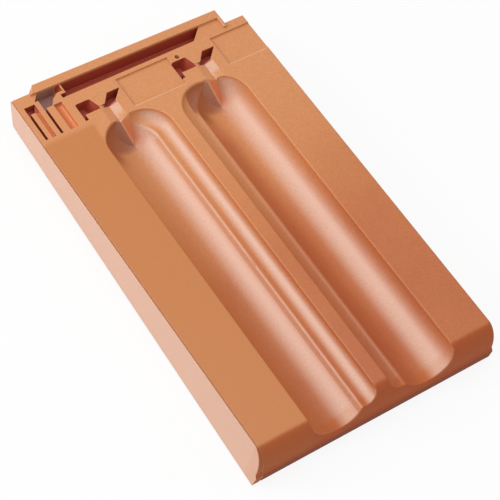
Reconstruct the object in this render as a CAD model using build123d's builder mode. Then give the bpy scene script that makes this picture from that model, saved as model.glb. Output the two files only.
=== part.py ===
import os

from build123d import *

# Left verge tile of the double-trough interlocking kind, pressed in one piece of clay and fired.
# X runs across the roof with the verge flap at -X, Y runs up the roof with the head at +Y,
# and Z is up. The origin is under the middle of the tile, on the plane that it lies on.

# Overall sizes
overall_length = 433.0
deck_width = 245.0
body_height = 43.0
deck_thickness = 12.0

# Verge flap along the left edge: it leans out at the foot and in at the head,
# so that the flap of the next tile up the roof laps over it
flap_thickness = 11.0
flap_overhang = 3.0
flap_foot_lean = 6.5
flap_head_lean = -3.0
flap_foot_rise = 0.6
flap_head_rise = 4.0
joint_line_width = 1.2
joint_line_depth = 0.9
joint_line_inset = 1.0

# Foot nose: rounded top edge, upright face and a bead along the bottom edge
nose_reach = 13.5
nose_drop = 24.0
bead_reach = 1.8
bead_height = 12.0
bead_slope = 3.0
apron_thickness = 12.5

# Two troughs, mirrored about the rib between them, each with a shallow cove on the rib's side
strip_width = 49.6
trough_radius = 27.5
trough_depth = 26.0
trough_wall = 11.5
trough_spacing = 96.2
trough_end_setback = 94.0
rib_width = 14.4
rib_thickness = 20.0
cove_radius = 12.0
cove_turn_radius = 16.0
cove_turn_angle = 125.0

# Head: thick block, raised rim, deep groove in front of it and the two stepped corners
head_block_length = 68.0
head_block_thickness = 26.0
rim_thickness = 9.5
rim_rise = 3.0
rim_bevel = 6.0
rim_return_width = 3.2
rim_return_length = 22.0
groove_width = 12.3
groove_depth = 14.0
groove_left = 47.5
groove_tail_length = 5.5
groove_tail_width = 4.5
groove_right_inset = 46.5
groove_slant = 13.0
right_corner_width = 22.4
right_corner_length = 16.7
left_corner_width = 16.5
left_corner_length = 3.0
head_skew = 3.0

# Lap fields, where the tile above rests, sunk a little below the deck
lap_field_drop = 2.0
lap_field_setback = 26.3
lap_field_length = 32.0
lap_field_ease = 4.0

# Head lock behind each trough: a square pit with a slot, and a slanted recess beside it
lock_left = 47.0
lock_spacing = 105.0
lock_width = 48.5
lock_setback = 49.0
pit_length = 14.5
pit_back_width = 15.5
pit_front_width = 20.5
pit_depth = 13.0
pit_flank_width = 6.0
pit_corner_radius = 2.2
slot_width = 3.2
slot_length = 6.5
slot_depth = 7.0
recess_offset = 23.0
recess_width = 13.5
recess_length = 13.0
recess_skew = 10.5
recess_front_slant = 2.0
recess_depth = 13.0

# Nail hole behind the right lock
nail_hole_radius = 2.3
nail_hole_offset = 9.0
nail_hole_setback = 30.5

# Gully that drains each lock into its trough, and the ridge below it on the trough's head wall
gully_offset = 19.5
gully_width = 17.5
gully_low_side = 9.0
gully_depth = 3.5
gully_front_setback = 77.0
gully_overrun = 3.0
ridge_setback = 67.0
ridge_root = 6.0
ridge_offset = -1.9
ridge_width = 10.8
ridge_skew = 7.1
ridge_length = 20.5
ridge_drop = 25.0
ridge_flank_width = 9.0
ridge_flank_drop = 8.0
ridge_foot = 30.0

# Side lock in the left corner of the head: two narrow channels, a shallow one and a wide hollow
channel_front_setback = 57.0
channel_back_setback = 16.0
channel_width = 2.6
channel_depth = 9.0
pocket_length = 9.0
outer_channel_left = 4.0
inner_channel_left = 20.0
shallow_left = 11.0
shallow_width = 4.0
shallow_depth = 2.8
hollow_left = 30.0
hollow_width = 8.5
hollow_depth = 4.0
hollow_back_setback = 25.0
basin_depth = 12.0
basin_width = 20.0
basin_step_length = 11.0
basin_front_width = 9.0
basin_shoulder_width = 13.5
basin_front_length = 6.5
post_slope_width = 6.0

# Underside: two hanging lugs, and the cover lock along the right edge
lug_width = 34.0
lug_length = 15.0
lug_setback = 8.0
cover_lip_width = 8.0
cover_lip_depth = 9.0
cover_lock_gap = 16.0

# Rounding of the pressed edges
crease_radius = 3.0
trough_edge_radius = 1.6
side_edge_radius = 1.5
rim_edge_radius = 0.8
flap_edge_radius = 0.7

# Worked out from the sizes above
overall_width = deck_width + flap_overhang + flap_foot_lean
front = -nose_reach - bead_reach
head = overall_length + front - head_skew
deck = Plane(
    origin=(flap_overhang + flap_foot_lean - overall_width / 2, -front - overall_length / 2, body_height)
)
trough_axis = trough_radius - trough_depth
trough_left = strip_width + (trough_radius**2 - trough_axis**2) ** 0.5
trough_centres = (trough_left, trough_left + trough_spacing)
rib_centre = trough_left + trough_spacing / 2
cove_offset = rib_width / 2 + cove_radius
trough_end = head - trough_end_setback
trough_right = trough_centres[1] + trough_left - strip_width
trough_heads = [
    Plane(
        origin=deck.from_local_coords((centre, trough_end, trough_axis)),
        x_dir=(0, 0, 1),
        z_dir=(0, 1, 0),
    )
    for centre in trough_centres
]
groove_back = head - rim_thickness
groove_front = groove_back - groove_width
lock_front = head - lock_setback
lock_starts = (lock_left, lock_left + lock_spacing)
gully_front = head - gully_front_setback
ridge_start = head - ridge_setback
groove_right = deck_width - groove_right_inset
field_back = head - lap_field_setback
lap_fields = (
    (lock_left + lock_width, lock_left + lock_spacing),
    (lock_left + lock_spacing + lock_width, deck_width),
)
channel_front = head - channel_front_setback
channel_back = head - channel_back_setback
hollow_back = head - hollow_back_setback
rim_left = left_corner_width + rim_bevel
rim_right = deck_width - right_corner_width
shallow_right = shallow_left + shallow_width
beyond = 60.0


def across(y):
    """Upright plane across the tile at y; its own x is X and its own y is Z."""
    return Plane(origin=deck.from_local_coords((0, y, 0)), x_dir=(1, 0, 0), z_dir=(0, -1, 0))


def along(x):
    """Upright plane along the tile at x; its own x is Y and its own y is Z."""
    return Plane(origin=deck.from_local_coords((x, 0, 0)), x_dir=(0, 1, 0), z_dir=(1, 0, 0))


def level(z):
    """Level plane at a height above the deck."""
    return deck.offset(z)


def rim_front(x):
    """Front edge of the rim at x, which runs a little out of square with the troughs."""
    return groove_back + head_skew * (rim_right - x) / (rim_right - rim_left)


def is_by_trough(edge):
    """True for an edge that runs up the tile between the strip and the plain deck at the right."""
    place = deck.to_local_coords(edge.center())
    runs_along = edge.bounding_box().size.Y > nose_reach / 2
    return runs_along and strip_width - trough_edge_radius < place.X < trough_right + trough_edge_radius


# Space in front of the nose and above the deck, seen from the side: once for the clay's
# own surface and once let in by the depth of the joint line
nose_spaces = []
for inset in (0.0, joint_line_depth):
    with BuildSketch(along(-beyond)) as nose_space:
        with BuildLine():
            nose = EllipticalCenterArc(
                (0, -nose_drop), nose_reach - inset, nose_drop - inset, 90, arc_size=90
            )
            Polyline(
                nose @ 1,
                (inset - nose_reach, bead_height + bead_slope - body_height),
                (front + inset, bead_height - body_height),
                (front + bead_reach + inset, -body_height),
                (front + bead_reach + inset, -body_height - beyond),
                (front - beyond, -body_height - beyond),
                (front - beyond, beyond),
                (head + beyond, beyond),
                (head + beyond, -inset),
                nose @ 0,
            )
        make_face()
    nose_spaces.append(nose_space.sketch)
nose_front, nose_line = nose_spaces

# Ridge of clay on a trough's head wall: a sloping top that runs out on the trough's floor,
# with a flank down to its left
crest_start = Vector(deck.origin)
crest_end = Vector(deck.from_local_coords((ridge_skew, -ridge_length, -ridge_drop)))
flank_foot = Vector(deck.from_local_coords((-ridge_flank_width, 0, -ridge_flank_drop)))
with BuildPart() as ridge:
    with BuildSketch(deck):
        Polygon(
            (ridge_width, ridge_root),
            (ridge_width, 0),
            (ridge_skew, -ridge_length),
            (ridge_skew - ridge_foot, -ridge_length),
            (-ridge_foot, ridge_root),
            align=None,
        )
    extrude(amount=-ridge_drop)
    slope = Plane(origin=deck.origin, x_dir=(1, 0, 0), z_dir=(0, -ridge_drop, ridge_length))
    split(bisect_by=slope, keep=Keep.BOTTOM)
    flank_normal = (flank_foot - crest_start).cross(crest_end - crest_start)
    split(bisect_by=Plane(origin=deck.origin, z_dir=flank_normal), keep=Keep.BOTTOM)

# Space in the troughs, which have round ends, and in the coves that turn into them
with BuildPart() as trough_space:
    with BuildSketch(across(trough_end)):
        for centre in trough_centres:
            with Locations((centre, trough_axis)):
                Circle(trough_radius)
        for side in (-1, 1):
            with Locations((rib_centre + side * cove_offset, 0)):
                Circle(cove_radius)
    extrude(amount=trough_end - front + beyond)
    with Locations(*trough_heads):
        Sphere(trough_radius)
    for side in (-1, 1):
        turn_centre = rib_centre + side * (cove_offset + cove_turn_radius)
        with BuildSketch(across(trough_end)):
            with Locations((rib_centre + side * cove_offset, 0)):
                Circle(cove_radius)
        revolve(
            axis=Axis(deck.from_local_coords((turn_centre, trough_end, 0)), (0, 0, -side)),
            revolution_arc=cove_turn_angle,
        )

with BuildPart() as roof_tile:
    # Deck slab with the foot's apron and the thicker head
    with BuildSketch(along(0)):
        Polygon(
            (front, 0),
            (head + head_skew, 0),
            (head + head_skew, -head_block_thickness),
            (head - head_block_length, -head_block_thickness),
            (head - head_block_length, -deck_thickness),
            (apron_thickness - nose_reach, -deck_thickness),
            (apron_thickness - nose_reach, -body_height),
            (front, -body_height),
            align=None,
        )
    extrude(amount=deck_width)

    # Verge flap, straight between its foot and head sections
    for y, lean, rise in (
        (front, flap_foot_lean, flap_foot_rise),
        (head - left_corner_length, flap_head_lean, flap_head_rise),
    ):
        with BuildSketch(across(y)):
            Polygon(
                (-flap_overhang, 0),
                (flap_thickness - flap_overhang, 0),
                (flap_thickness - flap_overhang - lean, rise - body_height),
                (-flap_overhang - lean, rise - body_height),
                align=None,
            )
    loft(ruled=True)

    # Clay around and between the troughs
    with BuildSketch(across(trough_end)):
        for centre in trough_centres:
            with Locations((centre, trough_axis)):
                Circle(trough_radius + trough_wall)
        with Locations((rib_centre, 0)):
            Rectangle(trough_spacing, rib_thickness, align=(Align.CENTER, Align.MAX))
    extrude(amount=trough_end - front)
    with Locations(*trough_heads):
        Sphere(trough_radius + trough_wall)
    extrude(nose_front, amount=deck_width + 2 * beyond, mode=Mode.SUBTRACT)

    # Troughs and coves, with rounded edges
    add(trough_space.part, mode=Mode.SUBTRACT)
    creases = roof_tile.edges(Select.LAST).filter_by(
        lambda edge: edge.length > trough_end and edge.center().Z < body_height - trough_axis
    )
    turns = roof_tile.edges(Select.LAST).filter_by(GeomType.BSPLINE).sort_by(Axis.Y)[-2:]
    fillet(creases + turns, crease_radius)
    rims = roof_tile.edges().filter_by_position(Axis.Z, body_height, body_height).filter_by(is_by_trough)
    mouths = (
        roof_tile.edges()
        .filter_by(GeomType.BSPLINE)
        .filter_by(lambda edge: edge.bounding_box().max.Z > body_height - trough_axis)
        .filter_by(lambda edge: edge.bounding_box().max.Y < deck.origin.Y + trough_axis)
        .filter_by(is_by_trough)
    )
    fillet(rims + mouths, trough_edge_radius)

    # Ridge on each trough's head wall
    for centre in trough_centres:
        add(ridge.part.moved(Pos(centre + ridge_offset, ridge_start, 0)))

    # Rim along the head with its return down the right corner
    with BuildSketch(level(0)):
        Polygon(
            (left_corner_width, rim_front(rim_left)),
            (rim_left, head + head_skew),
            (rim_right, head),
            (rim_right, head - rim_return_length),
            (rim_right - rim_return_width, head - rim_return_length),
            (rim_right - rim_return_width, rim_front(rim_right)),
            align=None,
        )
    extrude(amount=rim_rise)

    # Outline of the head, with its two stepped corners
    with BuildSketch(level(rim_rise)):
        Polygon(
            (-beyond, head - left_corner_length),
            (left_corner_width, head - left_corner_length),
            (rim_left, head + head_skew),
            (rim_right, head),
            (rim_right, head - right_corner_length),
            (deck_width + beyond, head - right_corner_length),
            (deck_width + beyond, head + beyond),
            (-beyond, head + beyond),
            align=None,
        )
    extrude(amount=-body_height - beyond, mode=Mode.SUBTRACT)

    # Rounded edges of the rim and of the tile's right side
    fillet(roof_tile.faces().sort_by(Axis.Z)[-1].edges(), rim_edge_radius)
    side_edges = (
        roof_tile.edges()
        .filter_by_position(Axis.X, overall_width / 2 - rim_rise, overall_width / 2)
        .filter_by(lambda edge: edge.bounding_box().max.Z > body_height - trough_axis)
        .filter_by(lambda edge: edge.bounding_box().size.X < trough_axis < edge.bounding_box().size.Y)
    )
    fillet(side_edges, side_edge_radius)

    # Lap fields, eased down from the deck at their front
    for field_left, field_right in lap_fields:
        with BuildSketch(along(field_left)):
            Polygon(
                (field_back - lap_field_length - lap_field_ease, 0),
                (field_back - lap_field_length, -lap_field_drop),
                (field_back, -lap_field_drop),
                (field_back, 0),
                align=None,
            )
        extrude(amount=field_right - field_left, mode=Mode.SUBTRACT)

    # Deep groove in front of the rim, with a short tail at its left end
    with BuildSketch(level(0)):
        Polygon(
            (groove_left - groove_tail_length, groove_front),
            (groove_right - groove_slant, groove_front),
            (groove_right, rim_front(groove_right)),
            (groove_left, rim_front(groove_left)),
            (groove_left, groove_front + groove_tail_width),
            (groove_left - groove_tail_length, groove_front + groove_tail_width),
            align=None,
        )
    extrude(amount=-groove_depth, mode=Mode.SUBTRACT)

    # Head locks: gully, pit with its slot, and slanted recess
    for lock in lock_starts:
        with BuildSketch(across(gully_front)):
            Polygon(
                (lock + gully_offset, 0),
                (lock + gully_offset + gully_width, 0),
                (lock + gully_offset + gully_low_side, -gully_depth),
                align=None,
            )
        extrude(amount=gully_front - lock_front - gully_overrun, mode=Mode.SUBTRACT)
        for height, flank in ((0, 0), (-pit_depth, pit_flank_width)):
            with BuildSketch(level(height)) as pit:
                Polygon(
                    (lock, lock_front),
                    (lock + pit_front_width - flank, lock_front),
                    (lock + pit_back_width - flank, lock_front + pit_length),
                    (lock, lock_front + pit_length),
                    align=None,
                )
                fillet(pit.vertices().group_by(Axis.Y)[-1], pit_corner_radius)
        loft(mode=Mode.SUBTRACT, ruled=True)
        with BuildSketch(level(0)):
            with Locations((lock, lock_front)):
                Rectangle(slot_width, slot_length, align=(Align.MIN, Align.MAX))
        extrude(amount=-slot_depth, mode=Mode.SUBTRACT)
        with BuildSketch(level(0)):
            with Locations((lock + recess_offset, lock_front)):
                Polygon(
                    (0, 0),
                    (recess_width, recess_front_slant),
                    (recess_width + recess_skew, recess_length),
                    (recess_skew, recess_length),
                    align=None,
                )
        extrude(amount=-recess_depth, mode=Mode.SUBTRACT)

    # Nail hole, right through the head
    with Locations(level(0) * Pos(lock_starts[1] + nail_hole_offset, head - nail_hole_setback)):
        Hole(nail_hole_radius)

    # Outer channel with a pocket at its head, and inner channel
    with BuildSketch(level(0)):
        Polygon(
            (outer_channel_left, channel_front),
            (outer_channel_left + channel_width, channel_front),
            (outer_channel_left + channel_width, channel_back - pocket_length),
            (shallow_left, channel_back - pocket_length),
            (shallow_right, channel_back),
            (outer_channel_left, channel_back),
            align=None,
        )
        with Locations((inner_channel_left, channel_front)):
            Rectangle(channel_width, channel_back - channel_front, align=Align.MIN)
    extrude(amount=-channel_depth, mode=Mode.SUBTRACT)

    # Shallow channel between them, open to the pocket
    with BuildSketch(level(0)):
        Polygon(
            (shallow_left, channel_front),
            (shallow_right, channel_front),
            (shallow_right, channel_back),
            (shallow_left, channel_back - pocket_length),
            align=None,
        )
    extrude(amount=-shallow_depth, mode=Mode.SUBTRACT)

    # Wide hollow beside them
    with BuildSketch(across(channel_front)):
        with Locations((hollow_left + hollow_width / 2, 0)):
            Ellipse(hollow_width / 2, hollow_depth)
    extrude(amount=channel_front - hollow_back, mode=Mode.SUBTRACT)

    # Basin behind them, and the sloping side of the post that parts it from the groove
    basin_right = inner_channel_left + basin_width
    basin_back = hollow_back + basin_step_length
    with BuildSketch(level(0)):
        Polygon(
            (inner_channel_left, hollow_back),
            (inner_channel_left + basin_front_width, hollow_back),
            (inner_channel_left + basin_shoulder_width, hollow_back + basin_front_length),
            (basin_right, basin_back),
            (basin_right, rim_front(basin_right)),
            (rim_left, rim_front(rim_left)),
            (left_corner_width, basin_back),
            (inner_channel_left, basin_back),
            align=None,
        )
    extrude(amount=-basin_depth, mode=Mode.SUBTRACT)
    with BuildSketch(across(basin_back)):
        Polygon(
            (basin_right, 0),
            (basin_right + post_slope_width, 0),
            (basin_right, -basin_depth),
            align=None,
        )
    extrude(amount=basin_back - rim_front(basin_right + post_slope_width), mode=Mode.SUBTRACT)

    # Rounded outer edge of the flap
    flap_edges = roof_tile.edges().filter_by_position(Axis.Z, body_height, body_height).sort_by(Axis.X)
    fillet(flap_edges[0], flap_edge_radius)

    # Fine line where the flap was pressed onto the deck
    line_start = Pos(beyond + joint_line_inset - flap_overhang, 0, 0)
    extrude(nose_line.moved(line_start), amount=joint_line_width, mode=Mode.SUBTRACT)

    # Hanging lugs under the head
    with BuildSketch(level(-head_block_thickness)):
        for centre in trough_centres:
            with Locations((centre, head - lug_setback)):
                Rectangle(lug_width, lug_length, align=(Align.CENTER, Align.MAX))
    extrude(amount=head_block_thickness - body_height)

    # Lips of the cover lock under the right edge
    with BuildSketch(level(-deck_thickness)):
        for inset in (0, cover_lip_width + cover_lock_gap):
            with Locations((deck_width - inset, apron_thickness - nose_reach)):
                Rectangle(cover_lip_width, head - head_block_length, align=(Align.MAX, Align.MIN))
    extrude(amount=-cover_lip_depth)

roof_tile.part.label = "roof_tile"
os.makedirs("parts", exist_ok=True)
export_step(roof_tile.part, "parts/roof_tile.step")
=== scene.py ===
import bpy
from math import radians
from mathutils import Matrix, Vector

# Left verge tile of natural red clay: pressed, fired and laid on a white table under soft light.

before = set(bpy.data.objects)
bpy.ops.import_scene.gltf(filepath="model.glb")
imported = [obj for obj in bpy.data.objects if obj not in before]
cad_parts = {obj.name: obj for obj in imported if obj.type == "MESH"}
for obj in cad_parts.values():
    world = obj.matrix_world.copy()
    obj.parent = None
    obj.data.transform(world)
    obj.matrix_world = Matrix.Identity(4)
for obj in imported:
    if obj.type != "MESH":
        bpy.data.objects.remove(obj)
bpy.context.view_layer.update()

mm = 0.001


def linearColour(hexColour):    # sRGB hex to the linear colour that a shader takes
    channels = [int(hexColour[start:start + 2], 16) / 255 for start in (1, 3, 5)]
    return [c / 12.92 if c <= 0.04045 else ((c + 0.055) / 1.055) ** 2.4 for c in channels] + [1.0]


# Inputs go by place in a list or by name in a dictionary, and each is a value or a socket to link
def addNode(tree, kind, inputs=(), **settings):
    node = tree.nodes.new("ShaderNode" + kind)
    for name, value in settings.items():
        setattr(node, name, value)
    named = inputs.items() if isinstance(inputs, dict) else enumerate(inputs)
    for name, value in named:
        if isinstance(value, bpy.types.NodeSocket):
            tree.links.new(value, node.inputs[name])
        else:
            node.inputs[name].default_value = value
    return node.outputs


# Camera at the photograph's angle: a long lens, looking down on the tile from beyond its foot
cameraSettings = {
    "place": Vector((-0.6497, -0.7420, 1.4278)),
    "right": Vector((0.83212, -0.54509, 0.10222)),
    "up": Vector((0.40671, 0.72508, 0.55574)),
    "lens": 136.4,
    "sensor": 36.0,
}

right = cameraSettings["right"].normalized()
back = right.cross(cameraSettings["up"]).normalized()
lens = bpy.data.cameras.new("photoCamera")
lens.lens = cameraSettings["lens"]
lens.sensor_width = cameraSettings["sensor"]
camera = bpy.data.objects.new("photoCamera", lens)
turn = Matrix((right, back.cross(right), back)).transposed().to_4x4()
camera.matrix_world = Matrix.Translation(cameraSettings["place"]) @ turn
bpy.context.scene.collection.objects.link(camera)
bpy.context.scene.camera = camera
print("camera set")


# Tile: natural red clay, pressed in a mould and fired without glaze. To the eye it is a satin skin
# with a broad soft sheen and fine sandy grain; its colour drifts from tan at the head to red at the
# foot. Light and shade are also painted into the clay's colour, because the lamps give them too
# weakly: painted shade makes the deep grooves, pits and recesses of the head brick red and the
# basin grey-brown, and gives the dark and warm patches beside the ridges, the red flank, the brown
# nose and the dark bead; the pale sheen on left-leaning faces, the paler edges and lap field fronts
# are painted highlights, and the orange of the shallow channel and hollow is painted glow. They are
# colours of the clay, so they stay put in every light.
claySettings = {
    "tan": "#cc7d3e",
    "orange": "#d17d40",
    "red": "#b8582a",
    "headTan": "#db9058",
    # painted sheen: a pale highlight on the flap and on faces that lean left
    "paintedSheen": "#e6b89f",
    # painted shade on the nose where it faces the foot
    "noseShadeBrown": "#ae4e18",
    # painted shade left of each ridge at the trough's head
    "ridgeShadeDark": "#96451f",
    # painted shade along the bead under the nose
    "beadShadeBrown": "#8a3a14",
    # painted warm shade right of each ridge at the trough's head
    "ridgeWarmShade": "#dd6f36",
    # painted glow in the shallow channel and the hollow of the head
    "glow": "#dd7a3c",
    # painted shade in the grooves, pits and recesses of the head
    "recessShadeRed": "#b54a32",
    # painted shade on the floor of the basin
    "basinShadeBrown": "#a87c74",
    # painted highlight on the edges and on the fronts of the lap fields
    "edgeHighlight": "#e6b088",
    "ior": 1.65,
    "roughness": 0.45,
    "roughnessSpread": 0.08,
    "noseRoughness": 0.45,         # added along the nose, which shows no glare
    "noseSpan": (-200 * mm, -206 * mm),
    "grainSize": 1.5 * mm,         # real sand grains are 0.2 to 0.5 mm: coarser here, to be seen
    "grainDetail": 3,
    "grainShade": 0.45,
    "stripGrain": 0.12,
    "grainHeight": 0.05 * mm,
    "satinSpan": (0.3, 0.7),       # the grain's values between which the roughness changes
    "cloudSize": 60 * mm,          # slow drift between orange and red
    "cloudDetail": 3,
    "cloudShare": 1.0,
    "dappleSize": 13 * mm,         # shallow unevenness of pressed clay
    "dappleDetail": 2,
    "dappleHeight": 0.08 * mm,
    "edgeRadius": 0.8 * mm,
    "edgeSamples": 8,
    "edgeShare": 0.25,
    "edgeTurn": (0.995, 0.90),     # cosine between the rounded normal and the flat one
    "paintedSheenSpan": (0.0, 0.50),
    "paintedSheenEnd": (0.65, 1.05),
    "paintedSheenShare": 0.85,
    "paintedSheenDepth": (1.5 * mm, 4 * mm),
    "creaseShare": 0.45,
    "deckHeight": 43 * mm,
    "flapFace": (-116 * mm, -117 * mm),
    "headFront": (148 * mm, 156 * mm),
    "stripEdge": (-70 * mm, -64 * mm),
    "ridgeLine": (8.14 * mm, 0.346),
    "troughPitch": (28 * mm, -68.2 * mm),
    "troughField": ((-69, 80, 10), (84, 148.5, 43)),
    "darkSpan": (98 * mm, 125 * mm),
    "darkFoot": (119 * mm, 128 * mm),
    "darkLean": (0.25, 0.65),
    "darkEdge": (0.0, 1 * mm),
    "darkShadeShare": 0.7,
    "warmSpan": (118 * mm, 136 * mm),
    "warmReach": (15 * mm, 4 * mm),
    "warmEdge": (0.0, 2 * mm),
    "warmShadeShare": 0.8,
    "noseLean": (0.05, 0.50),
    "noseLine": (-198 * mm, -203 * mm),
    "noseShadeShare": 0.8,
    "redSpan": (120 * mm, -190 * mm),
    "redShare": 0.6,
    # painted shade on the right-leaning flank left of the second ridge
    "redFlank": ((30, -220, 10), (62, 130, 42)),
    "redFlankFade": (126 * mm, 80 * mm),
    "redFlankLean": (-0.1, 0.6),
    "redFlankShadeShare": 0.65,
    "tanSpan": (-60 * mm, 150 * mm),
    "sharpAngle": 32,              # degrees between faces from which an edge stays sharp
}
boxEdge = 0.25 * mm    # how softly a boxed patch of colour ends
eased = {"interpolation_type": "SMOOTHSTEP"}
times = {"operation": "MULTIPLY"}
minus = {"operation": "SUBTRACT"}
most = {"operation": "MAXIMUM"}
timesPlus = {"operation": "MULTIPLY_ADD"}

# Creases between trough and cove in millimetres, where the painted sheen is weaker
creases = [((-19.8, -220, 0), (-16.0, 118, 43)), ((31.2, -220, 0), (34.8, 118, 43))]

# Places with painted light and shade, from low corner to high corner in millimetres: painted shade
# in brick red in the head's grooves, pits, slots, recesses, channels and pocket, in grey-brown on
# the basin and in dark brown on the bead; painted glow in the shallow channel and the hollow; a
# painted highlight along the fronts of the two lap fields
colouredPlaces = {
    "headGroove": ((-75.9, 191.5, 28), (81, 209, 42.8), "recessShadeRed"),
    "leftPit": ((-71, 164.3, 28), (-51.4, 179.3, 42.8), "recessShadeRed"),
    "leftSlot": ((-71, 157.8, 28), (-67.3, 164.5, 42.8), "recessShadeRed"),
    "leftRecess": ((-47.9, 164.3, 28), (-23.4, 179.3, 42.8), "recessShadeRed"),
    "rightPit": ((34, 164.3, 28), (53.6, 179.3, 42.8), "recessShadeRed"),
    "rightSlot": ((34, 157.8, 28), (37.7, 164.5, 42.8), "recessShadeRed"),
    "rightRecess": ((57.1, 164.3, 28), (81.6, 179.3, 42.8), "recessShadeRed"),
    "outerChannel": ((-114, 156.2, 28), (-110.9, 197.8, 42.2), "recessShadeRed"),
    "pocket": ((-114, 188.3, 28), (-102.3, 197.8, 42.8), "recessShadeRed"),
    "innerChannel": ((-98, 156.2, 28), (-94.9, 188.6, 42.2), "recessShadeRed"),
    "beadShade": ((-118, -218, 0), (128, -214.8, 12.5), "beadShadeBrown"),
    "basin": ((-102, 188.4, 28), (-77.4, 207, 42.8), "basinShadeBrown"),
    "shallowChannel": ((-107, 156.2, 28), (-102.6, 188.6, 42.6), "glow"),
    "hollow": ((-88.5, 156.2, 28), (-78.5, 188.4, 42.6), "glow"),
    "leftFieldFront": ((-22.2, 151, 28), (34.2, 152.2, 44), "edgeHighlight"),
    "rightFieldFront": ((82.8, 151, 28), (126, 152.2, 44), "edgeHighlight"),
}


def addInside(tree, place, low, high):    # 1 inside the box between two corners in millimetres
    low, high = Vector(low) * mm, Vector(high) * mm
    off = addNode(tree, "VectorMath", [place, (low + high) / 2], **minus)[0]
    off = addNode(tree, "VectorMath", [off], operation="ABSOLUTE")[0]
    off = addNode(tree, "VectorMath", [off, (high - low) / 2], **minus)[0]
    offX, offY, offZ = addNode(tree, "SeparateXYZ", [off])
    furthest = addNode(tree, "Math", [offX, offY], **most)[0]
    furthest = addNode(tree, "Math", [furthest, offZ], **most)[0]
    return addNode(tree, "MapRange", [furthest, boxEdge, -boxEdge], **eased)[0]


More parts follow.
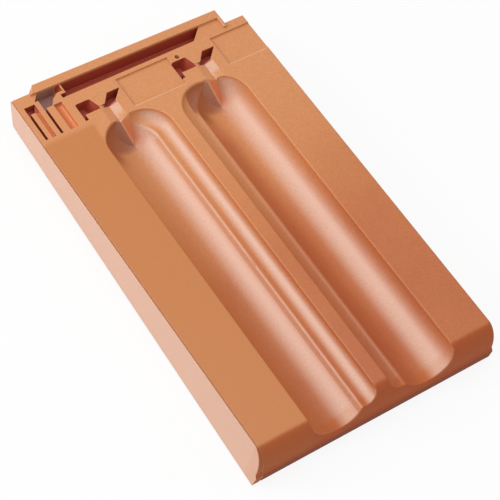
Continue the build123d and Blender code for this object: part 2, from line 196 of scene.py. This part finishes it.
def makeClay(settings):
    hexes = {name: value for name, value in settings.items() if isinstance(value, str)}
    colours = {name: linearColour(value) for name, value in hexes.items()}
    clay = bpy.data.materials.new("firedRedClay")
    clay.use_nodes = True
    tree = clay.node_tree
    tree.nodes.clear()
    spot = addNode(tree, "TexCoord")
    place = spot["Object"]
    x, y, z = addNode(tree, "SeparateXYZ", [place])
    facingX, facingY = addNode(tree, "SeparateXYZ", [spot["Normal"]])[:2]
    grain, cloud, dapple = [addNode(tree, "TexNoise", {
        "Vector": place,
        "Scale": 1 / settings[name + "Size"],
        "Detail": settings[name + "Detail"]})["Fac"] for name in ("grain", "cloud", "dapple")]
    layers = []    # share and colour of each layer over the orange clay, from the lowest up

    # Cloudy red toward the foot, and the plain tan strip beside the flap
    redness = addNode(tree, "MapRange", [y, *settings["redSpan"]], **eased)[0]
    cloudy = addNode(tree, "Math", [cloud, 0.5], **minus)[0]
    redness = addNode(tree, "Math", [cloudy, settings["cloudShare"], redness], **timesPlus)[0]
    redness = addNode(tree, "Math", [redness, settings["redShare"]], **times)[0]
    strip = addNode(tree, "MapRange", [x, *settings["stripEdge"], 1.0, 0.0], **eased)[0]
    layers += [(redness, "red"), (strip, "tan")]

    # Light tan toward the head
    offStrip = addNode(tree, "Math", [1.0, strip], **minus)[0]
    slow = addNode(tree, "MapRange", [y, *settings["tanSpan"]], **eased)[0]
    slow = addNode(tree, "Math", [slow, offStrip], **times)[0]
    head = addNode(tree, "MapRange", [y, *settings["headFront"]], **eased)[0]
    light = addNode(tree, "Math", [head, slow], **most)[0]
    layers.append((light, "headTan"))

    # Painted shade: red on faces that lean to the right, on the flank left of the second ridge,
    # fading out toward the head
    flankShade = addInside(tree, place, *settings["redFlank"])
    lean = addNode(tree, "MapRange", [
        facingX, *settings["redFlankLean"], 0.0, settings["redFlankShadeShare"]], **eased)[0]
    fade = addNode(tree, "MapRange", [y, *settings["redFlankFade"]], **eased)[0]
    for mask in (lean, fade):
        flankShade = addNode(tree, "Math", [flankShade, mask], **times)[0]
    layers.append((flankShade, "red"))

    # Painted sheen: a pale highlight on the flap and, below the deck and on the head, on what leans
    # to the left
    leftward = addNode(tree, "Math", [facingX, -1.0], **times)[0]
    depth = addNode(tree, "Math", [settings["deckHeight"], z], **minus)[0]
    sunk = addNode(tree, "MapRange", [depth, *settings["paintedSheenDepth"]], **eased)[0]
    notSteep = addNode(tree, "MapRange", [leftward, *settings["paintedSheenEnd"], 1.0, 0.0], **eased)[0]
    sheenedPlaces = addNode(tree, "Math", [sunk, head], **most)[0]
    sheenedPlaces = addNode(tree, "Math", [sheenedPlaces, notSteep], **times)[0]
    flap = addNode(tree, "MapRange", [x, *settings["flapFace"]], **eased)[0]
    sheenedPlaces = addNode(tree, "Math", [sheenedPlaces, flap], **most)[0]
    paintedSheen = addNode(tree, "MapRange", [
        leftward, *settings["paintedSheenSpan"], 0.0, settings["paintedSheenShare"]], **eased)[0]
    for low, high in creases:
        crease = addInside(tree, place, low, high)
        kept = addNode(tree, "Math", [crease, -settings["creaseShare"], 1.0], **timesPlus)[0]
        paintedSheen = addNode(tree, "Math", [paintedSheen, kept], **times)[0]
    paintedSheen = addNode(tree, "Math", [paintedSheen, sheenedPlaces], **times)[0]
    layers.append((paintedSheen, "paintedSheen"))

    # Painted shade at each trough's head: a dark patch to the left of the ridge and a warm one to
    # its right
    ridgeStart, slope = settings["ridgeLine"]
    pitch = addNode(tree, "Math", [x, *settings["troughPitch"]], operation="WRAP")[0]
    ridge = addNode(tree, "Math", [y, -slope, ridgeStart], **timesPlus)[0]
    left = addNode(tree, "Math", [ridge, pitch], **minus)[0]
    right = addNode(tree, "Math", [pitch, ridge], **minus)[0]
    field = addInside(tree, place, *settings["troughField"])
    inTrough = addNode(tree, "Math", [sunk, field], **times)[0]
    darkShade = addNode(tree, "MapRange", [
        left, *settings["darkEdge"], 0.0, settings["darkShadeShare"]], **eased)[0]
    darkStart = addNode(tree, "MapRange", [y, *settings["darkSpan"]], **eased)[0]
    darkFoot = addNode(tree, "MapRange", [y, *settings["darkFoot"]], **eased)[0]
    darkLean = addNode(tree, "MapRange", [facingX, *settings["darkLean"]], **eased)[0]
    darkFoot = addNode(tree, "Math", [darkFoot, darkLean], **most)[0]
    for mask in (darkStart, darkFoot, inTrough):
        darkShade = addNode(tree, "Math", [darkShade, mask], **times)[0]
    warmShade = addNode(tree, "MapRange", [
        right, *settings["warmEdge"], 0.0, settings["warmShadeShare"]], **eased)[0]
    warmReach = addNode(tree, "MapRange", [right, *settings["warmReach"]], **eased)[0]
    warmStart = addNode(tree, "MapRange", [y, *settings["warmSpan"]], **eased)[0]
    for mask in (warmReach, warmStart, inTrough):
        warmShade = addNode(tree, "Math", [warmShade, mask], **times)[0]
    layers += [(darkShade, "ridgeShadeDark"), (warmShade, "ridgeWarmShade")]

    # Painted shade: brown on the nose where it faces the foot, then the places with painted light
    # and shade
    frontward = addNode(tree, "Math", [facingY, -1.0], **times)[0]
    front = addNode(tree, "MapRange", [frontward, *settings["noseLean"]], **eased)[0]
    noseShade = addNode(tree, "MapRange", [
        y, *settings["noseLine"], 0.0, settings["noseShadeShare"]], **eased)[0]
    noseShade = addNode(tree, "Math", [noseShade, front], **times)[0]
    layers.append((noseShade, "noseShadeBrown"))
    for low, high, colour in colouredPlaces.values():
        layers.append((addInside(tree, place, low, high), colour))

    # Painted highlight along the edges: paler where the rounded normal turns away from the flat one
    rounded = addNode(tree, "Bevel", {
        "Radius": settings["edgeRadius"]}, samples=settings["edgeSamples"])[0]
    flat = addNode(tree, "NewGeometry")["Normal"]
    turned = addNode(tree, "VectorMath", [rounded, flat], operation="DOT_PRODUCT")["Value"]
    edge = addNode(tree, "MapRange", [
        turned, *settings["edgeTurn"], 0.0, settings["edgeShare"]], **eased)[0]
    layers.append((edge, "edgeHighlight"))

    skin = colours["orange"]
    for share, colour in layers:    # sockets 6 and 7 of a mix are its two colours
        skin = addNode(tree, "Mix", {0: share, 6: skin, 7: colours[colour]}, data_type="RGBA")[2]

    # Grain shades the skin, least on the smooth strip
    grainShare = addNode(tree, "MapRange", [
        strip, 0.0, 1.0, settings["grainShade"], settings["stripGrain"]], **eased)[0]
    grainOff = addNode(tree, "Math", [grain, 0.5], **minus)[0]
    shade = addNode(tree, "Math", [grainOff, grainShare, 1.0], **timesPlus)[0]
    skin = addNode(tree, "VectorMath", {0: skin, "Scale": shade}, operation="SCALE")[0]
    pressed = addNode(tree, "Bump", {
        "Height": dapple, "Distance": settings["dappleHeight"], "Normal": rounded})[0]
    sandy = addNode(tree, "Bump", {
        "Height": grain, "Distance": settings["grainHeight"], "Normal": pressed})[0]

    # Satin all over and dull along the nose
    smoothest = settings["roughness"] - settings["roughnessSpread"]
    roughest = settings["roughness"] + settings["roughnessSpread"]
    satin = addNode(tree, "MapRange", [
        grain, *settings["satinSpan"], smoothest, roughest], **eased)[0]
    dull = addNode(tree, "MapRange", [
        y, *settings["noseSpan"], 0.0, settings["noseRoughness"]], **eased)[0]
    satin = addNode(tree, "Math", [satin, dull], operation="ADD")[0]
    shader = addNode(tree, "BsdfPrincipled", {
        "Base Color": skin, "Roughness": satin, "IOR": settings["ior"], "Normal": sandy})[0]
    addNode(tree, "OutputMaterial", {"Surface": shader})
    return clay


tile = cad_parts["roof_tile"]
tile.data.materials.clear()
tile.data.materials.append(makeClay(claySettings))
tile.data.shade_smooth()
tile.data.set_sharp_from_angle(angle=radians(claySettings["sharpAngle"]))
print("tile finished in fired red clay")


# Surroundings: a white table that keeps the tile's shadow, two broad soft lamps and white walls
tableSettings = {
    "reach": 6.0,
    "paint": "#fafafa",
    "whiteness": 0.88,    # pure white in what the camera sees; the rest keeps the shadow
}
lampSettings = {
    "windowLamp": {"toward": (-0.70, 0.43, 0.57), "away": 2.2, "wide": 1.0, "watts": 17},
    "ceilingLamp": {"toward": (0.0, 0.05, 1.0), "away": 2.2, "wide": 1.6, "watts": 12},
}
wallSettings = {
    "paint": "#ffffff",
    "strength": 0.55,
}


def makeTable(settings):
    reach = settings["reach"]
    corners = [(-reach, -reach, 0), (reach, -reach, 0), (reach, reach, 0), (-reach, reach, 0)]
    mesh = bpy.data.meshes.new("table")
    mesh.from_pydata(corners, [], [(0, 1, 2, 3)])
    table = bpy.data.objects.new("table", mesh)
    bpy.context.scene.collection.objects.link(table)
    paint = bpy.data.materials.new("whiteMattPaint")    # dead matt, so the table shows no glare
    paint.use_nodes = True
    tree = paint.node_tree
    tree.nodes.clear()
    matt = addNode(tree, "BsdfDiffuse", {"Color": linearColour(settings["paint"])})[0]
    rays = addNode(tree, "LightPath")
    seen = rays["Is Camera Ray"]
    for kind in ("Is Glossy Ray", "Is Transmission Ray"):
        seen = addNode(tree, "Math", [seen, rays[kind]], **most)[0]
    share = addNode(tree, "Math", [seen, settings["whiteness"]], **times)[0]
    white = addNode(tree, "Emission", {"Strength": 1.0})[0]
    both = addNode(tree, "MixShader", [share, matt, white])[0]
    addNode(tree, "OutputMaterial", {"Surface": both})
    mesh.materials.append(paint)


makeTable(tableSettings)
for name, settings in lampSettings.items():
    light = bpy.data.lights.new(name, "AREA")
    light.size = settings["wide"]
    light.energy = settings["watts"]
    lamp = bpy.data.objects.new(name, light)
    toward = Vector(settings["toward"]).normalized()
    lamp.location = toward * settings["away"]
    lamp.rotation_euler = toward.to_track_quat("Z", "Y").to_euler()
    bpy.context.scene.collection.objects.link(lamp)
world = bpy.data.worlds.new("whiteWalls")
bpy.context.scene.world = world
world.use_nodes = True
walls = world.node_tree.nodes["Background"]
walls.inputs["Color"].default_value = linearColour(wallSettings["paint"])
walls.inputs["Strength"].default_value = wallSettings["strength"]
bpy.context.scene.view_settings.view_transform = "Standard"
print("table, lamps and walls set")
